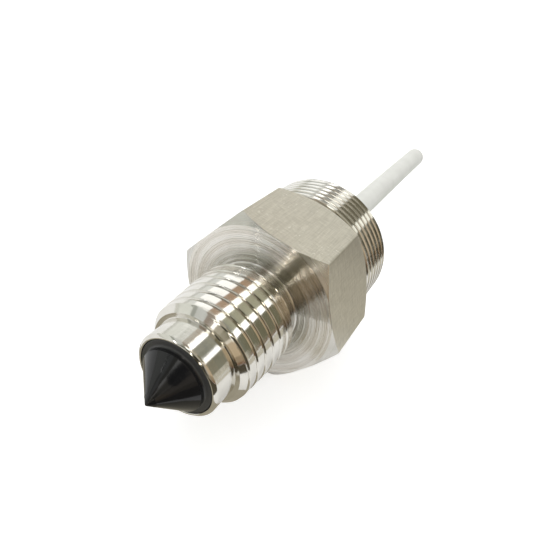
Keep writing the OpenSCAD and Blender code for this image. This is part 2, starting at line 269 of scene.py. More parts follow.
class Paint:
    """A material's node tree, with short words for its nodes. Places and lengths are in millimetres."""

    def __init__(self, name):
        self.material = bpy.data.materials.new(name)
        self.material.use_nodes = True
        self.tree = self.material.node_tree
        self.shader = self.tree.nodes["Principled BSDF"]
        self.origin = None

    def set(self, **values):
        """Plain values on the shader's own sockets."""
        for key, value in values.items():
            self.shader.inputs[key.replace("_", " ")].default_value = value

    def link(self, value, socket):
        """Gives a socket a plain value or another node's output."""
        if isinstance(value, (int, float, tuple)):
            socket.default_value = value
        else:
            self.tree.links.new(value, socket)

    def math(self, operation, a, b=0.0, c=0.0):
        n = self.tree.nodes.new("ShaderNodeMath")
        n.operation = operation
        for value, socket in zip((a, b, c), n.inputs):
            self.link(value, socket)
        return n.outputs[0]

    def vector(self, operation, a, b=(0.0, 0.0, 0.0)):
        n = self.tree.nodes.new("ShaderNodeVectorMath")
        n.operation = operation
        self.link(a, n.inputs[0])
        if operation == "SCALE":
            self.link(b, n.inputs["Scale"])
        else:
            self.link(b, n.inputs[1])
        return n.outputs["Value" if operation == "LENGTH" else "Vector"]

    def point(self):
        """The place on the object, counted from the middle of the hexagon's front face."""
        if self.origin is None:
            place_m = self.tree.nodes.new("ShaderNodeTexCoord").outputs["Object"]
            moved = self.vector("SUBTRACT", place_m, (HEX_FACE_X, 0.0, AXIS_H))
            self.origin = self.vector("SCALE", moved, 1 / MM)
        return self.origin

    def from_axis(self):
        """The way from the sensor's axis straight out to the place."""
        return self.vector("MULTIPLY", self.point(), (0.0, 1.0, 1.0))

    def radius(self):
        return self.vector("LENGTH", self.from_axis())

    def along(self):
        """The place's distance along the sensor's axis."""
        n = self.tree.nodes.new("ShaderNodeSeparateXYZ")
        self.link(self.point(), n.inputs[0])
        return n.outputs["X"]

    def surface(self):
        """The surface's own normal."""
        return self.tree.nodes.new("ShaderNodeNewGeometry").outputs["Normal"]

    def noise(self, scale, detail=2.0, vector=None, w=None, roughness=0.5, distortion=0.0):
        """Noise from 0 to 1, over the place, over another vector, or over one value w."""
        n = self.tree.nodes.new("ShaderNodeTexNoise")
        if w is not None:
            n.noise_dimensions = "1D"
            self.link(w, n.inputs["W"])
        else:
            self.link(self.point() if vector is None else vector, n.inputs["Vector"])
        n.inputs["Scale"].default_value = scale
        n.inputs["Detail"].default_value = detail
        n.inputs["Roughness"].default_value = roughness
        n.inputs["Distortion"].default_value = distortion
        return n.outputs["Fac"]

    def stretched_noise(self, stretch, detail, distortion=0.0):
        """Noise with its own scale along each direction of the row frame."""
        return self.noise(1.0, detail, self.vector("MULTIPLY", self.point(), stretch), distortion=distortion)

    def remap(self, value, a, b, c, d, smooth=False):
        """The range from a to b moved to the range from c to d, and held there outside it."""
        n = self.tree.nodes.new("ShaderNodeMapRange")
        n.interpolation_type = "SMOOTHSTEP" if smooth else "LINEAR"
        for v, socket in zip((value, a, b, c, d), n.inputs):
            self.link(v, socket)
        return n.outputs[0]

    def mix(self, factor, a, b):
        """Colour a where the factor is 0 and colour b where it is 1."""
        n = self.tree.nodes.new("ShaderNodeMix")
        n.data_type = "RGBA"
        self.link(factor, n.inputs[0])
        for colour, i in ((a, 6), (b, 7)):
            self.link((*colour, 1.0) if isinstance(colour, tuple) else colour, n.inputs[i])
        return n.outputs[2]

    def bump(self, height, distance, normal=None):
        n = self.tree.nodes.new("ShaderNodeBump")
        n.inputs["Distance"].default_value = distance * MM
        self.link(height, n.inputs["Height"])
        if normal is not None:
            self.link(normal, n.inputs["Normal"])
        return n.outputs[0]

    def colour(self, value):
        self.link((*value, 1.0) if isinstance(value, tuple) else value, self.shader.inputs["Base Color"])

    def rough(self, value):
        self.link(value, self.shader.inputs["Roughness"])

    def normal(self, value):
        self.link(value, self.shader.inputs["Normal"])

    def leaning_out(self, slope):
        """The normal leaned away from the axis by a slope, as rings cut into a face lean it."""
        away = self.vector("NORMALIZE", self.from_axis())
        leaned = self.vector("ADD", self.surface(), self.vector("SCALE", away, slope))
        return self.vector("NORMALIZE", leaned)

    def spread_across_turning(self):
        """Light spreads across a lathe's marks: along the axis on round surfaces, outwards on a face."""
        marks = self.vector("CROSS_PRODUCT", (1.0, 0.0, 0.0), self.point())
        across = self.vector("CROSS_PRODUCT", self.surface(), marks)
        self.link(self.vector("NORMALIZE", across), self.shader.inputs["Tangent"])


STEEL = (0.735, 0.715, 0.665)
STEEL_DULL = (0.66, 0.64, 0.585)


def turned_steel(name, roughness, anisotropic, coarse, depth, fine_depth, shade=1.0):
    """Stainless steel as it comes off the lathe, with coarse and fine marks round the axis."""
    p = Paint(name)
    p.set(Metallic=1.0, Anisotropic=anisotropic)
    along = p.math("ADD", p.along(), p.radius())
    wide = p.noise(coarse, 2.0, w=along)
    fine = p.noise(coarse * 6.3, 3.0, w=along)
    patch = p.noise(0.35, 3.0)
    bright = tuple(c * shade for c in STEEL)
    dull = tuple(c * shade for c in STEEL_DULL)
    p.colour(p.mix(p.remap(patch, 0.35, 0.7, 0.0, 1.0), bright, dull))
    p.rough(p.remap(wide, 0.3, 0.7, roughness * 0.8, roughness * 1.25))
    p.normal(p.bump(fine, fine_depth, normal=p.bump(wide, depth)))
    p.spread_across_turning()
    return p.material


def faced_steel(name):
    """The hexagon's front face: rings so steep that light spreads far outwards but hardly round the axis."""
    p = Paint(name)
    p.set(Metallic=1.0, Anisotropic=1.0)
    out = p.radius()
    rings = p.noise(1.3, 3.0, w=out, roughness=0.6)
    tone = p.noise(4.2, 2.0, w=out)
    feed = p.noise(16.0, 1.0, w=out)
    shade = p.mix(p.remap(rings, 0.35, 0.65, 0.0, 1.0), (0.80, 0.765, 0.71), (0.90, 0.88, 0.84))
    marked = p.mix(p.remap(tone, 0.55, 0.72, 0.0, 0.4), shade, (0.68, 0.645, 0.58))
    # Painted shade: the face's colour darkens towards the thread's root, inside a radius of about 10.6 mm,
    # for the thread's occlusion and its dark reflection in the face
    p.colour(p.mix(p.remap(out, 8.6, 10.6, 0.55, 0.0, smooth=True), marked, (0.42, 0.42, 0.36)))
    p.rough(p.remap(rings, 0.3, 0.7, 0.13, 0.17))
    steep = p.remap(feed, 0.0, 1.0, -1.7, 1.7)
    p.normal(p.leaning_out(p.math("ADD", steep, p.remap(tone, 0.0, 1.0, -0.3, 0.3))))
    p.spread_across_turning()
    return p.material


def brushed_steel(name):
    """The hexagon's flats: brushed along the axis, with short scratches across and worn bright specks."""
    p = Paint(name)
    p.set(Metallic=1.0)
    lines = p.stretched_noise((0.30, 9.0, 9.0), 4.0)
    cross = p.stretched_noise((8.0, 0.6, 0.6), 3.0, distortion=0.4)
    specks = p.noise(2.4, 4.0, roughness=0.7)
    patch = p.noise(0.16, 2.0)
    worn = p.math("MULTIPLY", p.remap(specks, 0.60, 0.68, 0.0, 1.0), p.remap(patch, 0.45, 0.6, 0.2, 1.0))
    both = p.math("MULTIPLY_ADD", cross, 0.7, p.math("MULTIPLY", lines, 0.5))
    dull = p.mix(p.remap(both, 0.45, 0.75, 0.0, 1.0), (0.515, 0.495, 0.43), (0.715, 0.695, 0.62))
    p.colour(p.mix(worn, dull, (0.90, 0.89, 0.84)))
    p.rough(p.remap(cross, 0.3, 0.7, 0.34, 0.46))
    p.normal(p.bump(cross, 0.012, normal=p.bump(lines, 0.012)))
    return p.material


def moulded(name, colour, roughness, grain=0.004):
    """Moulded plastic, rubber or resin with a faint grain and slight changes of shade."""
    p = Paint(name)
    darker = tuple(c * 0.82 for c in colour)
    p.colour(p.mix(p.remap(p.noise(0.9, 3.0), 0.3, 0.7, 0.0, 1.0), colour, darker))
    p.rough(p.remap(p.noise(2.2, 3.0), 0.3, 0.7, roughness * 0.85, roughness * 1.15))
    p.normal(p.bump(p.noise(14.0, 2.0), grain))
    return p.material


def prism_plastic():
    """Glossy black optical plastic with specks of dust. The flange is satin, as moulded."""
    p = Paint("prism_plastic")
    p.set(IOR=1.49, Specular_IOR_Level=0.38)
    dust = p.noise(5.0, 5.0, roughness=0.7)
    satin = p.remap(p.radius(), STEP_R - 0.02, STEP_R + 0.12, 0.0, 1.0)
    black = p.mix(satin, (0.007, 0.007, 0.0075), (0.040, 0.040, 0.037))
    p.colour(p.mix(p.remap(dust, 0.66, 0.78, 0.0, 0.3), black, (0.09, 0.09, 0.09)))
    gloss = p.remap(p.noise(1.3, 3.0), 0.35, 0.7, 0.09, 0.14)
    p.rough(p.math("MAXIMUM", gloss, p.math("MULTIPLY", satin, 0.42)))
    p.normal(p.bump(p.noise(2.0, 2.0), 0.002))
    return p.material


def jacket_plastic():
    """Matt off-white cable jacket, faintly drawn along its length."""
    p = Paint("cable_jacket")
    p.colour(p.mix(p.remap(p.noise(0.25, 3.0), 0.3, 0.7, 0.0, 1.0), (0.76, 0.76, 0.71), (0.70, 0.70, 0.65)))
    p.rough(p.remap(p.noise(3.0, 2.0), 0.3, 0.7, 0.48, 0.62))
    p.normal(p.bump(p.stretched_noise((0.15, 5.0, 5.0), 3.0), 0.006))
    return p.material


def copper():
    p = Paint("copper")
    p.set(Metallic=1.0)
    p.colour(p.mix(p.noise(3.0), (0.72, 0.36, 0.20), (0.55, 0.26, 0.14)))
    p.rough(0.35)
    p.normal(p.bump(p.noise(9.0), 0.01))
    return p.material


# Cable


def cable_path():
    """The cable's middle in the row frame, with the heights between the route's points drawn straight."""
    behind, sag = np.array(CABLE_ROUTE, float).T
    steps = np.linspace(0, behind[-1], CABLE_STEPS)
    x = HEX_FACE_X + (REAR_Z - steps) * MM
    z = AXIS_H - np.interp(steps, behind, sag) * MM
    return [Vector((a, 0.0, b)) for a, b in zip(x, z)]


def sweep(path, profile):
    """Points and faces of a tube along a path, whose end has a profile of (distance back, radius)."""
    side = Vector((0, 1, 0))
    verts = []
    for before, at, after in zip(path[:1] + path, path, path[1:] + path[-1:]):
        up = (after - before).normalized().cross(side)
        verts += circle(at, side, up, CABLE_D / 2, CABLE_SIDES)
    back = (path[-2] - path[-1]).normalized()
    for depth, r in profile:
        verts += circle(path[-1] + back * depth * MM, side, up, r, CABLE_SIDES)
    rings = len(path) + len(profile)
    faces = tube_faces(rings, CABLE_SIDES) + [ring_face(0, CABLE_SIDES), ring_face(rings - 1, CABLE_SIDES)]
    return verts, faces


def stub(name, at, back, angle, radius, front, depth, material):
    """A short round rod in the cable's end, one of three on a ring round its middle."""
    side = Vector((0, 1, 0))
    up = (-back).cross(side)
    middle = at + (side * math.cos(angle) + up * math.sin(angle)) * CORE_RING * MM
    ends = [(front, 0.0), (front, radius * 0.94), (front + 0.04, radius), (depth, radius)]
    verts = []
    for d, r in ends:
        verts += circle(middle + back * d * MM, side, up, r, STUB_SIDES)
    faces = tube_faces(len(ends), STUB_SIDES) + [ring_face(len(ends) - 1, STUB_SIDES)]
    return make(name, verts, faces, [material])


def build_jacket(path, back):
    """The jacket, whose edge at the cut end is slightly broken, with a shallow recess over the cores."""
    inner = CABLE_D / 2 - JACKET_T
    end = [(0.03, CABLE_D / 2 - 0.03), (0.0, CABLE_D / 2 - 0.1), (0.0, inner + 0.03), (END_DEPTH, inner)]
    shortened = path[:-1] + [path[-1] + back * JACKET_EDGE * MM]
    verts, faces = sweep(shortened, [(depth - JACKET_EDGE, r) for depth, r in end])
    jacket = make("cable_jacket", verts, faces, [jacket_plastic()])
    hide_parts("cable")
    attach(jacket, "root")
    return jacket


def build_cable(insulation):
    path = cable_path()
    back = (path[-2] - path[-1]).normalized()
    jacket = build_jacket(path, back)
    strands = copper()
    bits = []
    for core, turn in zip(CORES, CORE_ANGLES):
        end = (path[-1], back, math.radians(turn))
        rod = stub(f"core_end_{core}", *end, CORE_D / 2, CORE_BACK, CORE_DEPTH, insulation[core])
        wire = stub(f"wire_end_{core}", *end, WIRE_D / 2, 0.0, WIRE_DEPTH, strands)
        bits += [rod, wire]
    for b in bits:
        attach(b, "root")
    length = sum((b - a).length for a, b in zip(path, path[1:]))
    tuple(path[0])
    [tuple(p) for p in path]


# Housing


class Thread:
    """A right-hand thread between two places of the axis: one groove round a body of a given crest radius.

    The groove's middle passes the place called middle at the angle turn, in degrees. Its flanks stand at 60
    degrees to each other over a flat root, and share is its width at the crest as a part of the pitch.
    """

    def __init__(self, high, low, middle, turn, pitch, share, crest):
        self.high, self.low = high, low
        self.middle, self.turn = middle, turn
        self.pitch = pitch
        self.crest = crest
        self.half = share * pitch / 2
        self.root = ROOT_W / 2
        self.depth = (self.half - self.root) / math.tan(FLANK)

    def cut(self, x):
        """Depth at a distance from the groove's middle, with rounded edges and a slightly domed land."""
        x = np.abs(x)
        flank = (self.half - x) / math.tan(FLANK)
        rounded = (flank + FLANK_SOFT) ** 2 / (4 * FLANK_SOFT)
        flank = np.where(np.abs(flank) < FLANK_SOFT, rounded, np.maximum(flank, 0))
        across = np.clip((self.pitch / 2 - x) / (self.pitch / 2 - self.half), 0, 1)
        dome = LAND_CROWN * across ** 2 * (x > self.half * 0.9)
        return np.minimum(flank, self.depth) + dome

    def marks(self):
        """Distances from the groove's middle where the surface has points, from high to low."""
        half, root = self.half, self.root
        flank = [root, (root + half) / 2, half - FLANK_EDGE, half, half + FLANK_EDGE, half + 0.1]
        land = list(np.linspace(half + 0.1, self.pitch / 2, 5)[1:])
        right = flank + land
        return sorted([0.0] + right + [-mark for mark in right[:-1]], reverse=True)

    def to_land(self, x):
        """Distance from x to its land's middle. In the groove it goes evenly from one land to the next."""
        land = self.pitch / 2 - self.half
        in_groove = x / self.half * land
        on_land = np.sign(x) * (self.pitch / 2 - np.abs(x))
        return np.where(np.abs(x) < self.half, in_groove, on_land)

    def rows(self, angles):
        """Places s and radii r, one row for each mark of each turn and one column for each angle."""
        centre = self.middle + self.pitch * (np.degrees(angles) - self.turn) / 360
        first = math.ceil((self.high - centre.min()) / self.pitch) + 1
        last = math.floor((self.low - centre.max()) / self.pitch) - 1
        for k in range(first, last - 1, -1):
            for mark in self.marks():
                s = np.clip(centre + k * self.pitch + mark, self.low, self.high)
                x = (s - centre + self.pitch / 2) % self.pitch - self.pitch / 2
                yield s, self.crest(s, self.cut(x), s + self.to_land(x))


def front_crest(s, cut, land):
    """Each land is level, and the lands follow the taper by the place of their middles."""
    slope = (FRONT_R - TAPER_R) / (FRONT_LEAD_Z - TAPER_Z)
    crest = FRONT_R - slope * np.clip(land - TAPER_Z, 0, FRONT_LEAD_Z - TAPER_Z)
    bevel = TAPER_R - (s - FRONT_LEAD_Z) * (TAPER_R - SHOULDER_R) / (FRONT_END - FRONT_LEAD_Z)
    start = FRONT_R - np.maximum(0, RELIEF_W + THREAD_START - s)
    return np.minimum(np.minimum(crest - cut, bevel), start)


def rear_crest(s, cut, _):
    bevel = REAR_R - REAR_LEAD + (s - REAR_Z)
    start = REAR_R - np.maximum(0, s + HEX_L + REAR_RELIEF_W + 0.1)
    return np.minimum(np.minimum(REAR_R - cut, bevel), start)


def column_angles():
    """Angles of the columns, closer together at the hexagon's corners."""
    angles = set(np.round(np.linspace(0, 360, COLUMNS + 1), 6))
    for corner in range(0, 361, 60):
        for off in (0.14, 0.3, 0.5, CORNER_REACH):
            angles |= {round(corner + off, 6), round(corner - off, 6)}
    return np.radians(np.array(sorted(a for a in angles if 0 <= a <= 360)))


def hexagon_radius(angles):
    """Radius of the hexagon at each angle, its corners broken by a small round."""
    off = np.abs((np.degrees(angles) + 30) % 60 - 30)
    sharp = HEX_AF / 2 / np.cos(np.radians(30 - off))
    return sharp - CORNER_ROUND * np.clip(1 - off / CORNER_REACH, 0, 1) ** 2


# Finishes of the housing, in the order of its materials
TURNED, FLATS, THREAD, NOSE, BORE, FACE = range(6)


def housing_finishes():
    return [
        turned_steel("steel_turned", 0.24, 0.8, 2.6, 0.004, 0.0012, shade=0.84),
        brushed_steel("steel_brushed"),
        turned_steel("steel_thread", 0.11, 0.5, 1.7, 0.001, 0.0005),
        turned_steel("steel_nose", 0.11, 0.7, 3.4, 0.004, 0.0035),
        turned_steel("steel_bore", 0.30, 0.6, 2.0, 0.006, 0.002),
        faced_steel("steel_face"),
    ]


class Outline:
    """The housing's outline at every angle: rows of s, r and the finish of the strip up to the next row."""

    def __init__(self, angles):
        self.angles = angles
        self.rows = []

    def add(self, s, r, finish):
        one = np.ones_like(self.angles)
        self.rows.append((s * one, r * one, finish))

    def add_all(self, places, finish):
        for s, r in places:
            self.add(s, r, finish)


def add_nose(outline):
    """The lip with its bevel, the smooth nose, and the shoulder in front of the thread."""
    lip_r = NOSE_R - LIP_BEVEL
    bevel_z = LIP_Z - LIP_BEVEL
    outline.add_all([
        (LIP_Z - 0.05, SEAT_R), (LIP_Z, SEAT_R + 0.05), (LIP_Z, lip_r - 0.03), (LIP_Z - 0.03, lip_r + 0.03),
        (bevel_z + 0.03, NOSE_R - 0.03), (bevel_z - 0.03, NOSE_R),
    ], NOSE)
    outline.add_all([(s, NOSE_R) for s in np.linspace(LIP_Z - 0.7, FRONT_END + 0.1, 8)], NOSE)
    outline.add_all([
        (FRONT_END + 0.02, NOSE_R + 0.03), (FRONT_END, NOSE_R + 0.1), (FRONT_END, SHOULDER_R - 0.04),
    ], THREAD)


def add_front_thread(outline):
    """The front thread and the relief groove behind it, which ends in a fillet at the face."""
    thread = Thread(FRONT_END, RELIEF_W, RELIEF_W / 2, FRONT_TURN, FRONT_PITCH, FRONT_SHARE, front_crest)
    outline.add_all(thread.rows(outline.angles), THREAD)
    outline.add_all([
        (RELIEF_W, RELIEF_R + EDGE), (RELIEF_W - EDGE, RELIEF_R), (RELIEF_W / 2, RELIEF_R),
    ], TURNED)
    outline.add_all(arc(RELIEF_FILLET, RELIEF_R + RELIEF_FILLET, RELIEF_FILLET, 270, 180, 8), TURNED)


def add_hexagon(outline):
    """The turned face, the front bevel, the flats, and the long rear bevel."""
    hexa = hexagon_radius(outline.angles)
    rim = np.minimum(FACE_R, hexa - EDGE)
    middle = (rim + hexa - EDGE) / 2

    def bevel_s(r):
        return -np.maximum(0, r - FACE_R) * math.tan(math.radians(FRONT_BEVEL))

    front_s = bevel_s(hexa) - EDGE
    rear_s = -HEX_L + (hexa - REAR_R) / math.tan(math.radians(REAR_BEVEL))
    outline.add_all([(0.0, r) for r in np.linspace(RELIEF_R + 0.5, FACE_R - 0.4, 26)], FACE)
    outline.add_all([(0.0, rim), (bevel_s(middle), middle), (bevel_s(hexa - EDGE), hexa - EDGE)], TURNED)
    outline.add_all([(front_s + (rear_s - front_s) * t, hexa) for t in (0, 0.25, 0.5, 0.75)], FLATS)
    outline.add_all([
        (rear_s + (-HEX_L - rear_s) * t, hexa + (REAR_R - hexa) * t) for t in (0, 0.33, 0.67)
    ], TURNED)


def add_rear_thread(outline):
    """The relief behind the hexagon, the rear thread, and the rear end's face."""
    start = -HEX_L - REAR_RELIEF_W
    middle = -HEX_L - REAR_RELIEF_W / 2
    outline.add_all([
        (-HEX_L, REAR_R), (-HEX_L, REAR_RELIEF_R + EDGE), (-HEX_L - EDGE, REAR_RELIEF_R),
        (start + 0.03, REAR_RELIEF_R), (start, REAR_RELIEF_R + 0.03),
    ], THREAD)
    thread = Thread(start, REAR_Z + 0.02, middle, REAR_TURN, REAR_PITCH, REAR_SHARE, rear_crest)
    outline.add_all(thread.rows(outline.angles), THREAD)
    radii = (REAR_R - REAR_LEAD - EDGE, 12.0, 11.1, CHAMBER_R + 0.2)
    outline.add_all([(REAR_Z, r) for r in radii], TURNED)


def add_bores(outline):
    """The chamber behind, the bore through the nose, and the prism's seat."""
    outline.add_all([(s, CHAMBER_R) for s in (REAR_Z + 0.2, -20.0, -14.0, -8.0, CHAMBER_Z)], BORE)
    outline.add_all([(s, BORE_R) for s in (CHAMBER_Z, 3.0, 8.0, 13.0, SEAT_Z)], BORE)
    outline.add(SEAT_Z, SEAT_R, BORE)


def build_housing():
    """The outline joined up row by row, and from its last row back to its first."""
    outline = Outline(column_angles())
    for part in (add_nose, add_front_thread, add_hexagon, add_rear_thread, add_bores):
        part(outline)
    rows, columns = len(outline.rows), len(outline.angles)
    grid = np.stack([place(s, r, outline.angles) for s, r, _ in outline.rows])
    i, j = np.meshgrid(np.arange(rows), np.arange(columns - 1), indexing="ij")
    here, after = i * columns + j, (i + 1) % rows * columns + j
    faces = np.stack([here, here + 1, after + 1, after], -1)
    indices = np.repeat([finish for _, _, finish in outline.rows], columns - 1)
    body = make(
        "housing_turned", grid.reshape(-1, 3), faces.reshape(-1, 4), housing_finishes(), indices, sharp=24.0,
    )
    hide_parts("housing")
    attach(body, "root")


# Prism and potting


def build_prism():
    """The black prism: flange with a broken edge, blend, step, cone with a faint ring near its tip, skirt."""
    apex = STEP_Z + CONE_R
    groove_back, groove_front, groove_r = SEAL_GROOVE
    profile = [(SKIRT_Z, SKIRT_BORE), (SKIRT_Z, SKIRT_R - 0.1), (SKIRT_Z + 0.1, SKIRT_R)]
    profile += [(groove_back, SKIRT_R), (groove_back, groove_r)]
    profile += [(groove_front, groove_r), (groove_front, SKIRT_R)]
    profile += [(SEAT_Z, SKIRT_R), (SEAT_Z, FLANGE_R)]
    profile += arc(FLANGE_Z - FLANGE_EDGE, FLANGE_R - FLANGE_EDGE, FLANGE_EDGE, 90, 0, 5)
    profile += arc(FLANGE_Z + FOOT_R, STEP_R + FOOT_R, FOOT_R, 180, 270, 8)
    profile += [(STEP_Z - 0.2, STEP_R), (STEP_Z, CONE_R)]
    profile += [(apex - r, r + lift) for r, lift in ((3.2, 0), (1.06, 0), (1.0, 0.035), (0.94, 0))]
    profile += arc(apex - TIP_R / math.sin(math.radians(45)), 0.0, TIP_R, 45, 0, 5)
    profile += [(WINDOW_Z, 0.0), (WINDOW_Z, SKIRT_BORE)]
    body = turned("prism_body", profile, [prism_plastic()], sharp=34.0, sides=160)
    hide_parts("prism")
    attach(body, "root")


def build_potting():
    """The potting compound, which has crept up the wall and round the cable as it set."""
    outer, inner = CHAMBER_R - CAST_GAP, CABLE_D / 2 + CAST_GAP
    profile = []
    for r in np.linspace(outer, inner, 25):
        climb = 0.30 * math.exp(-(outer - r) / 0.35) + 0.26 * math.exp(-(r - inner) / 0.4)
        profile.append((POTTING_Z - climb, r))
    profile += [(JACKET_FRONT, inner), (JACKET_FRONT, 0.0), (POTTING_FRONT, 0.0), (POTTING_FRONT, outer)]
    resin = moulded("potting_resin", (0.012, 0.012, 0.014), 0.28, grain=0.003)
    body = turned("potting_plug", profile, [resin], sharp=40.0)
    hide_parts("potting")
    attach(body, "root")


# Parts inside, which keep the CAD's meshes


def inner_finishes(insulation):
    """The material of each part that keeps the CAD's mesh."""
    chip = moulded("chip_plastic", (0.02, 0.02, 0.02), 0.5)
    ceramic = moulded("ceramic_dark", (0.012, 0.012, 0.013), 0.4)
    finishes = {
        "prism_seal": moulded("seal_rubber", (0.02, 0.02, 0.02), 0.6),
        "optics_holder": moulded("holder_plastic", (0.03, 0.03, 0.032), 0.5),
        "infrared_led": moulded("led_resin", (0.05, 0.06, 0.16), 0.12),
        "phototransistor": moulded("detector_resin", (0.015, 0.014, 0.02), 0.12),
        "circuit_board": moulded("board_laminate", (0.02, 0.16, 0.05), 0.35),
        "insulating_sleeve": moulded("sleeve_plastic", (0.62, 0.55, 0.36), 0.4),
        "supply_capacitor": moulded("capacitor_resin", (0.55, 0.33, 0.03), 0.4),
        "filter_capacitor": moulded("ceramic_pale", (0.45, 0.33, 0.19), 0.45),
        "cable_root": jacket_plastic(),
    }
    for name in ("regulator", "comparator", "output_transistor", "polarity_diode"):
        finishes[name] = chip
    for name in ("led_resistor", "load_resistor", "feedback_resistor"):
        finishes[name] = ceramic
    for core in CORES:
        finishes[f"core_{core}"] = insulation[core]
    return finishes


def finish_inner_parts(nodes, insulation):
    for name, finish in inner_finishes(insulation).items():
        slots = nodes[name].data.materials
        slots.clear()
        slots.append(finish)


# Studio

# Cards that hang round the sensor like a tunnel, for the metal to reflect. A sheet has a name, the stretch of
# the axis that it spans, and bands: where each ends, in degrees from straight up towards -Y, and its colour.
# A band starts where the one before it ends, and the first one at TUNNEL_START.
TUNNEL_START = -92
TUNNEL_R = 0.32
TUNNEL_END = 1.9
SHEETS = [
    ("far", TUNNEL_END, 1.0, [
        (-64, (0.05, 0.045, 0.03)), (-54, (7.0, 6.5, 5.4)), (10, (0.05, 0.045, 0.03)),
        (19, (6.2, 5.8, 5.0)), (45, (0.22, 0.20, 0.15)), (92, (1.05, 1.05, 1.0)),
    ]),
    ("before", 1.0, 0.62, [
        (-47, (0.05, 0.045, 0.03)), (-40, (6.5, 6.0, 5.0)), (3.0, (0.05, 0.045, 0.03)),
        (10, (6.2, 5.8, 5.0)), (35, (0.22, 0.20, 0.15)), (62, (0.65, 0.65, 0.60)), (92, (1.05, 1.05, 1.0)),
    ]),
    ("cone", 0.62, 0.484, [(-60, (0.15, 0.15, 0.15)), (45, (0.03, 0.03, 0.03)), (92, (0.20, 0.20, 0.195))]),
    ("lip", 0.484, 0.335, [
        (-77, (0.36, 0.31, 0.23)), (-50, (0.60, 0.52, 0.42)), (-41, (0.42, 0.38, 0.31)),
        (-36, (0.9, 0.84, 0.75)), (-20, (0.55, 0.51, 0.42)), (0, (0.55, 0.52, 0.42)),
        (10, (1.0, 0.96, 0.85)), (24, (2.0, 2.0, 1.9)), (40, (0.39, 0.39, 0.32)),
        (56, (0.71, 0.73, 0.70)), (59.3, (0.33, 0.34, 0.30)), (61.3, (12.0, 12.0, 12.0)),
        (66, (0.33, 0.34, 0.30)), (92, (0.95, 0.95, 0.91)),
    ]),
    ("shoulder", 0.335, -0.17, [
        (-86.5, (0.27, 0.17, 0.11)), (-75, (0.40, 0.31, 0.21)), (-43, (0.64, 0.51, 0.35)),
        (-36, (0.9, 0.83, 0.7)), (-15, (0.25, 0.23, 0.155)), (2.3, (0.48, 0.44, 0.35)),
        (10.5, (2.0, 1.95, 1.85)), (30, (0.375, 0.32, 0.27)), (52, (0.71, 0.73, 0.71)),
        (60, (0.43, 0.45, 0.41)), (84, (0.90, 0.92, 0.87)), (92, (0.78, 0.79, 0.74)),
    ]),
    ("nose", -0.17, -0.233, [
        (-75, (0.72, 0.71, 0.62)), (-42.4, (0.235, 0.245, 0.20)), (-30.6, (2.2, 2.2, 2.2)),
        (1.3, (0.275, 0.287, 0.27)), (17.6, (2.2, 2.2, 2.2)), (50, (0.70, 0.71, 0.66)),
        (84, (0.98, 1.0, 0.96)), (92, (0.70, 0.71, 0.66)),
    ]),
    ("thread", -0.233, -0.333, [
        (-84, (0.25, 0.20, 0.14)), (-41.3, (0.20, 0.19, 0.125)), (-27.3, (2.0, 2.0, 1.95)),
        (1.8, (0.50, 0.49, 0.36)), (15.7, (2.0, 2.0, 1.9)), (34, (0.50, 0.35, 0.24)),
        (70, (1.5, 1.5, 1.5)), (84, (0.90, 0.92, 0.90)), (92, (0.72, 0.73, 0.70)),
    ]),
    ("relief", -0.333, -0.365, [
        (-41, (0.15, 0.12, 0.08)), (-28, (0.8, 0.75, 0.6)), (1.8, (0.13, 0.105, 0.07)),
        (16, (1.4, 1.35, 1.2)), (34, (0.32, 0.27, 0.20)), (92, (0.34, 0.35, 0.30)),
    ]),
    ("flat", -0.365, -0.49, [(-60, (0.45, 0.42, 0.36)), (92, (0.69, 0.665, 0.565))]),
    ("rear", -0.49, -1.1, [
        (-62, (0.10, 0.09, 0.06)), (-48, (0.17, 0.155, 0.115)), (-33.5, (1.3, 1.3, 1.2)),
        (4, (0.15, 0.135, 0.09)), (22.5, (1.15, 1.15, 1.1)), (38, (0.36, 0.36, 0.34)),
        (50, (2.2, 2.2, 2.2)), (56, (0.62, 0.62, 0.60)), (84, (1.35, 1.37, 1.38)), (92, (0.78, 0.79, 0.75)),
    ]),
]

# Boards that lie just above the floor: name, start and end along X, then along Y, height and colour
DARK_BOARD = (0.09, 0.078, 0.055)
FLOOR_BOARDS = [
    ("beside", (-0.16, -0.035), (0.03, 0.20), 0.0003, (0.64, 0.61, 0.52)),
    ("below", (-0.12, -0.027), (-0.02, 0.032), 0.00005, (0.42, 0.40, 0.36)),
    ("under_tip", (0.010, 0.036), (-0.018, 0.018), 0.0003, (0.42, 0.39, 0.31)),
    ("ahead", (0.036, TUNNEL_END), (-0.02, TUNNEL_R), 0.0006, DARK_BOARD),
]
# A board that lies at a slant behind the sensor, and the wall at the tunnel's far end
BEHIND = [(-0.075, 0.045, 0.0006), (-0.115, 0.045, 0.0006), (-0.60, 0.32, 0.0006), (-0.45, 0.32, 0.0006)]
BEHIND_COLOUR = (0.08, 0.07, 0.045)
END_HEIGHT = 0.34


def glowing(name, colour):
    """A material that only glows, for the cards that the metal reflects."""
    material = bpy.data.materials.new(name)
    material.use_nodes = True
    nodes = material.node_tree.nodes
    nodes.clear()
    glow = nodes.new("ShaderNodeEmission")
    glow.inputs[0].default_value = (*colour, 1.0)
    out = nodes.new("ShaderNodeOutputMaterial")
    material.node_tree.links.new(glow.outputs[0], out.inputs[0])
    return material


def only_reflected(card):
    """Keeps a card out of sight of everything but reflections."""
    card.visible_camera = False
    card.visible_diffuse = False
    card.visible_shadow = False
    card.visible_transmission = False
    card.visible_volume_scatter = False


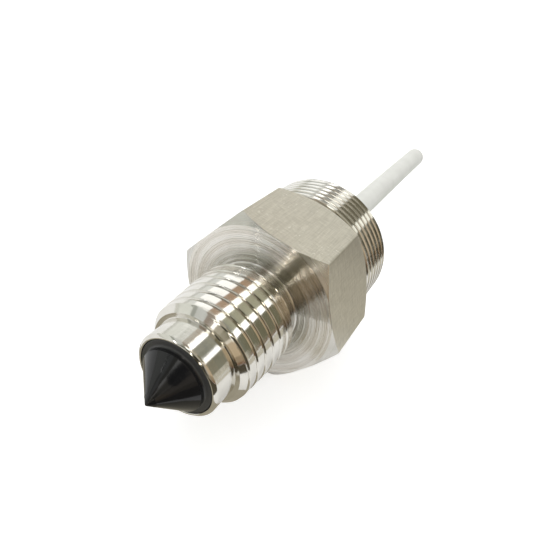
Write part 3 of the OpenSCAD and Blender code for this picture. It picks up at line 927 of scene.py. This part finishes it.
def build_sheet(name, start, end, bands):
    """One sheet of the tunnel, its bands bent round the axis in steps of about 4 degrees."""
    verts, faces, inks, indices = [], [], [], []
    low = TUNNEL_START
    for i, (high, colour) in enumerate(bands):
        inks.append(glowing(f"card_{name}_{i}", colour))
        steps = max(2, int((high - low) / 4))
        first = len(verts)
        for angle in np.radians(np.linspace(low, high, steps + 1)):
            y, z = -math.sin(angle) * TUNNEL_R, AXIS_H + math.cos(angle) * TUNNEL_R
            verts += [(start, y, z), (end, y, z)]
        starts = range(first, first + 2 * steps, 2)
        faces += [(k, k + 1, k + 3, k + 2) for k in starts]
        indices += [i] * steps
        low = high
    only_reflected(make(f"card_{name}", verts, faces, inks, indices))


def build_board(name, corners, colour):
    only_reflected(make(f"board_{name}", corners, [(0, 1, 2, 3)], [glowing(f"board_{name}", colour)]))


def build_cards():
    for name, start, end, bands in SHEETS:
        build_sheet(name, start, end, bands)
    for name, (x0, x1), (y0, y1), z, colour in FLOOR_BOARDS:
        build_board(name, [(x0, y0, z), (x1, y0, z), (x1, y1, z), (x0, y1, z)], colour)
    build_board("behind", BEHIND, BEHIND_COLOUR)
    build_board("end", [
        (TUNNEL_END, -TUNNEL_R, 0.0), (TUNNEL_END, TUNNEL_R, 0.0),
        (TUNNEL_END, TUNNEL_R, END_HEIGHT), (TUNNEL_END, -TUNNEL_R, END_HEIGHT),
    ], DARK_BOARD)


def floor_paint():
    """A pale floor that also glows to the camera, and faintly in reflections, so that it comes out white."""
    p = Paint("floor")
    p.rough(0.75)
    p.colour((0.90, 0.90, 0.895))
    nodes, links = p.tree.nodes, p.tree.links
    light = nodes.new("ShaderNodeLightPath")
    mirrored = p.math("MULTIPLY", light.outputs["Is Glossy Ray"], FLOOR_MIRRORED)
    seen = p.math("MAXIMUM", light.outputs["Is Camera Ray"], mirrored)
    glow = nodes.new("ShaderNodeEmission")
    glow.inputs[1].default_value = FLOOR_GLOW
    both = nodes.new("ShaderNodeAddShader")
    links.new(p.shader.outputs[0], both.inputs[0])
    links.new(glow.outputs[0], both.inputs[1])
    mix = nodes.new("ShaderNodeMixShader")
    links.new(seen, mix.inputs[0])
    links.new(p.shader.outputs[0], mix.inputs[1])
    links.new(both.outputs[0], mix.inputs[2])
    links.new(mix.outputs[0], nodes["Material Output"].inputs[0])
    return p.material


def build_floor():
    half = FLOOR_HALF
    corners = [(-half, -half, 0), (half, -half, 0), (half, half, 0), (-half, half, 0)]
    floor = make("floor", corners, [(0, 1, 2, 3)], [floor_paint()])


def area_light(name, at, size, power):
    """A square lamp that lights the sensor and the floor but doesn't show in them."""
    data = bpy.data.lights.new(name, "AREA")
    data.shape = "RECTANGLE"
    data.size, data.size_y = size, size
    data.energy = power
    item = bpy.data.objects.new(name, data)
    item.location = at
    item.rotation_euler = (Vector(LAMP_AIM) - Vector(at)).to_track_quat("-Z", "Y").to_euler()
    item.visible_glossy = False
    item.visible_camera = False
    bpy.context.scene.collection.objects.link(item)


def build_world():
    """White where the camera, a reflection or glass sees it, and a grey room for everything else."""
    world = bpy.data.worlds.new("studio")
    bpy.context.scene.world = world
    world.use_nodes = True
    nodes, links = world.node_tree.nodes, world.node_tree.links
    nodes.clear()
    rays = nodes.new("ShaderNodeLightPath").outputs
    seen = rays["Is Camera Ray"]
    for kind in ("Is Glossy Ray", "Is Transmission Ray"):
        either = nodes.new("ShaderNodeMath")
        either.operation = "MAXIMUM"
        links.new(seen, either.inputs[0])
        links.new(rays[kind], either.inputs[1])
        seen = either.outputs[0]
    white = nodes.new("ShaderNodeBackground")
    white.inputs[0].default_value = (1.0, 1.0, 1.0, 1.0)
    room = nodes.new("ShaderNodeBackground")
    room.inputs[0].default_value = (0.98, 0.99, 1.0, 1.0)
    room.inputs[1].default_value = ROOM_LIGHT
    mix = nodes.new("ShaderNodeMixShader")
    links.new(seen, mix.inputs[0])
    links.new(room.outputs[0], mix.inputs[1])
    links.new(white.outputs[0], mix.inputs[2])
    out = nodes.new("ShaderNodeOutputWorld")
    links.new(mix.outputs[0], out.inputs[0])


def build_studio():
    build_world()
    build_cards()
    build_floor()
    area_light("key", (-0.15, -0.30, 0.50), 0.40, 1.3)
    area_light("fill", (0.30, 0.35, 0.45), 0.35, 0.8)
    bpy.context.scene.view_settings.view_transform = "Standard"


clear()
add_camera()
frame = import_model()
low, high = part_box("housing")
HEX_FACE_X = low.x - REAR_Z * MM
AXIS_H = (low.z + high.z) / 2

insulation = {
    "brown": moulded("insulation_brown", (0.16, 0.065, 0.03), 0.42),
    "blue": moulded("insulation_blue", (0.035, 0.10, 0.33), 0.42),
    "black": moulded("insulation_black", (0.016, 0.016, 0.016), 0.42),
}
build_cable(insulation)
finish_inner_parts(frame["nodes"], insulation)
build_housing()
build_prism()
build_potting()
build_studio()
